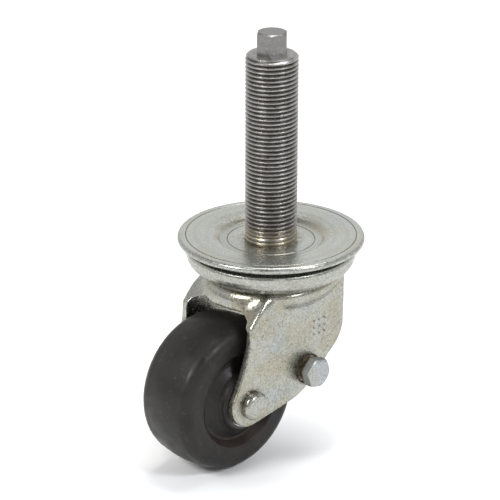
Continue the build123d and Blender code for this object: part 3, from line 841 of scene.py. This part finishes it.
def press_blends(points, edges, faces):
    """Rounds every edge a little, then fills the inside corners of the crown as a press would."""
    degree = np.bincount(edges.ravel(), minlength=len(points)).astype(float)
    for _ in range(EASING_ROUNDS):
        relax(points, edges, degree, 0.5, 1)
        relax(points, edges, degree, -0.45, 1)      # gives back the volume that the first one took
    round_shoulder(points)
    height = points[:, 2]
    crown = ramp(height, -38 * MM, -30 * MM) * ramp(-height, 16.4 * MM, 17.6 * MM)
    for _ in range(FILLET_ROUNDS):
        normals = vertex_normals(points, faces)
        lift = ((neighbour_mean(points, edges, degree) - points) * normals).sum(1)
        points += (0.9 * crown * np.maximum(lift, 0))[:, None] * normals
    relax(points, edges, degree, (0.125 + 0.375 * crown)[:, None], EASING_ROUNDS)
    bend = ramp(np.abs(points[:, 1]), 19.5 * MM, 21.5 * MM) * ramp(-points[:, 0], 19 * MM, 23 * MM)
    bend *= ramp(height, -37 * MM, -33 * MM)
    rim = ramp(np.abs(points[:, 1]), 21.2 * MM, 22.4 * MM) * ramp(-height, 33 * MM, 36 * MM)
    relax(points, edges, degree, (0.5 * bend)[:, None], BEND_ROUNDS)
    relax(points, edges, degree, (0.5 * rim)[:, None], RIM_ROUNDS)
    punch_leg(points)


def make_fork():
    """The CAD fork as an even mesh of small quads, with the blends of a pressing."""
    work = bpy.data.objects.new("fork_work", nodes["fork"].data.copy())
    bpy.context.scene.collection.objects.link(work)
    weld = work.modifiers.new("weld", "WELD")
    weld.merge_threshold = 0.002 * MM
    voxels = work.modifiers.new("voxels", "REMESH")
    voxels.mode = "VOXEL"
    voxels.voxel_size = VOXEL
    bpy.context.view_layer.update()
    graph = bpy.context.evaluated_depsgraph_get()
    mesh = bpy.data.meshes.new_from_object(work.evaluated_get(graph))
    bpy.data.objects.remove(work)
    points = np.zeros(len(mesh.vertices) * 3)
    mesh.vertices.foreach_get("co", points)
    points = points.reshape(-1, 3)
    edges = np.zeros(len(mesh.edges) * 2, int)
    mesh.edges.foreach_get("vertices", edges)
    faces = np.array([tuple(face.vertices) for face in mesh.polygons])
    press_blends(points, edges.reshape(-1, 2), faces)
    mesh.vertices.foreach_set("co", points.ravel())
    mesh.update()
    new_piece("pressed_fork", mesh, "zinc_fork", "fork_head", ["fork"])


# ---------------------------------------------------------------- axle, wheel and wheel lock
AXLE_R = 4.98 * MM
HEAD_R = 6.65 * MM            # of the axle's head and of its riveted far end
WASHER_HOLE_R = 5.05 * MM
WASHER_R = 10 * MM
ON_AXLE = Vector((AXLE.x, 0, AXLE.z))


def make_axle():
    """Headed axle pin and the washer under its riveted far end."""
    face = LEG_FACE_Y
    head = axle_low.y
    far = washer_high.y
    outline = [(0, head + 0.05 * MM, 0), (3.2 * MM, head, 3 * MM),
               (5.6 * MM, head + 0.35 * MM, 1.6 * MM), (HEAD_R, head + 1.7 * MM, 1.0 * MM),
               (HEAD_R, face, 0.15 * MM), (AXLE_R, face, 0), (AXLE_R, far, 0),
               (HEAD_R, far, 0.2 * MM), (6.3 * MM, far + 1.4 * MM, 0.9 * MM),
               (4.3 * MM, axle_high.y - 0.3 * MM, 1.5 * MM), (0, axle_high.y, 0)]
    mesh = mesh_from(turned(eased(outline, False), "Y", ON_AXLE, 96, False), "axle")
    weigh_normals(new_piece("axle_pin", mesh, "zinc_fork", "fork_head", ["axle"]))
    ring = eased([(WASHER_HOLE_R, -face, 0), (WASHER_R, -face, 0.2 * MM),
                  (WASHER_R, far, 0.5 * MM), (WASHER_HOLE_R, far, 0)], True)
    mesh = mesh_from(turned(ring, "Y", ON_AXLE, 96), "washer")
    weigh_normals(new_piece("axle_far_washer", mesh, "zinc_plate", "fork_head", ["axle_washer"]))


# The wheel's outline in mm: (radius, place along the axle, corner radius).
HUB_END = ((11.25, -18.8, 0.3), (11.25, 18.8, 0.3))
WHEEL_SIDE = ((13.4, 18.8, 0.7), (13.8, 17.2, 0.6), (14.8, 15.6, 0.9), (16.4, 14.2, 0.9),
              (18.1, 13.1, 0.9), (19.6, 12.4, 0.5), (20.6, 12.6, 0.3), (23.3, 15.9, 0.9))
TREAD_EDGE_R, TREAD_EDGE_Y, TREAD_SHOULDER, TREAD_CROWN = 35.1, 10.0, 6.0, 0.9


def make_wheel():
    """Moulded wheel: stepped sides, round shoulders and a slightly crowned tread."""
    shoulder = []
    for k in range(9):
        turn = math.radians(90 * k / 8)
        shoulder.append((TREAD_EDGE_R - TREAD_SHOULDER * (1 - math.sin(turn)),
                         TREAD_EDGE_Y + TREAD_SHOULDER * math.cos(turn), 0))
    tread = []
    for k in range(1, 12):
        y = TREAD_EDGE_Y * (1 - k / 6)
        tread.append((TREAD_EDGE_R + TREAD_CROWN * (1 - (y / TREAD_EDGE_Y) ** 2), y, 0))
    near_half = [*WHEEL_SIDE, *shoulder]
    far_half = [(r, -y, e) for r, y, e in reversed(near_half)]
    outline = in_mm(*near_half, *tread, *far_half, *HUB_END)
    mesh = mesh_from(turned(eased(outline, True), "Y", ON_AXLE, 256), "wheel")
    weigh_normals(new_piece("moulded_wheel", mesh, "wheel_polymer", "wheel_body", ["wheel"]))


def make_lock():
    """The CAD's cam shaft up to its neck, with a softer hexagon set on it."""
    bm = bmesh.new()
    bm.from_mesh(nodes["brake_shaft"].data)
    bmesh.ops.remove_doubles(bm, verts=bm.verts, dist=0.002 * MM)
    base = lock_low.y + LOCK_HEX_HEIGHT
    geometry = bm.verts[:] + bm.edges[:] + bm.faces[:]
    cut = bmesh.ops.bisect_plane(bm, geom=geometry, plane_co=(0, base + 0.02 * MM, 0),
                                 plane_no=(0, -1, 0), clear_outer=True)
    rim = [part for part in cut["geom_cut"] if isinstance(part, bmesh.types.BMEdge)]
    bmesh.ops.holes_fill(bm, edges=rim, sides=0)
    key = hexagon_mesh(SPANNER, LOCK_HEX_HEIGHT, 5.9 * MM, "lock_hexagon")
    turn = Matrix.Rotation(math.radians(LOCK_HEX_TURN), 4, "Z")
    face_out = Matrix.Rotation(math.radians(90), 4, "X")
    key.transform(Matrix.Translation((LOCK.x, base, LOCK.z)) @ face_out @ turn)
    for edge in bm.edges:
        edge.smooth = len(edge.link_faces) == 2 and edge.calc_face_angle() < math.radians(30)
    bm.from_mesh(key)
    mesh = mesh_from(bm, "lock_shaft")
    weigh_normals(new_piece("lock_shaft", mesh, "zinc_bright", "wheel_lock", ["brake_shaft"]))


# ---------------------------------------------------------------- everything put together
cad_slots = {row["node"]: row["material_slot"] for row in frame["record"]["subparts"]}
for name, node in nodes.items():
    paint(node, cad_slots[name])

make_stem()
make_kingpin_thread()
make_flange()
make_ring()
make_fork()
make_axle()
make_wheel()
make_lock()
